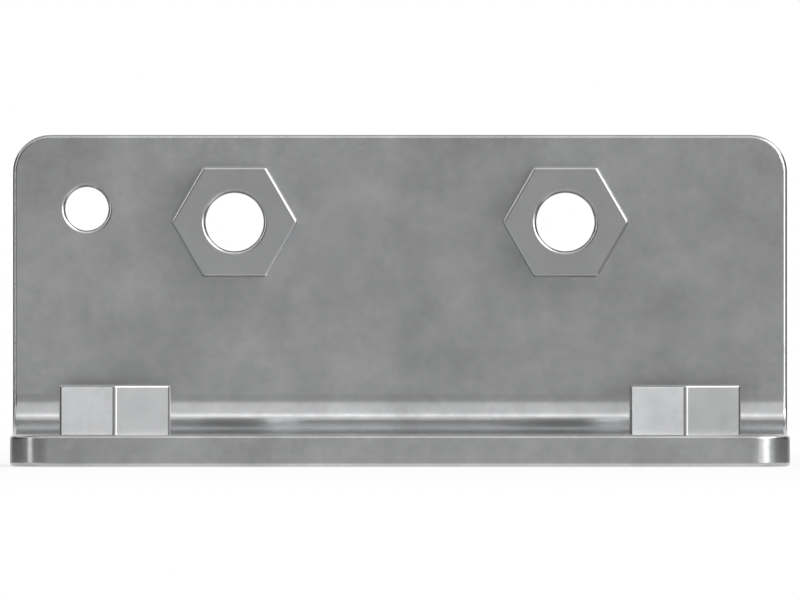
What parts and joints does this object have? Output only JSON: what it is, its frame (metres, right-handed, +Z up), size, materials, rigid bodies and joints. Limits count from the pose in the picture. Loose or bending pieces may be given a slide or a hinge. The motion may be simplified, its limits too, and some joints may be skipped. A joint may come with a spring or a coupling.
{
  "type": "hose mounting bracket",
  "caption": "L-shaped bracket of bent sheet steel with welded hexagon nuts on the inside of its upright and flange, and a plain fixing hole, for bolting hose clamps to a frame.",
  "frame": {"origin": "under the middle of the bracket, on the plane that the underside of the flange stands on", "axes": "+X along the width, +Y towards the back of the upright, +Z up along the upright"},
  "size_m": [0.0984, 0.036, 0.042],
  "materials": {
    "sheet_steel": "zinc plated, satin, with a faint cloudy mottle",
    "nut_steel": "zinc plated, satin"
  },
  "bodies": {
    "root": {"bracket": "sheet_steel", "upright_nut_left": "nut_steel", "upright_nut_right": "nut_steel", "flange_nut_left": "nut_steel", "flange_nut_right": "nut_steel"}
  },
  "joints": []
}
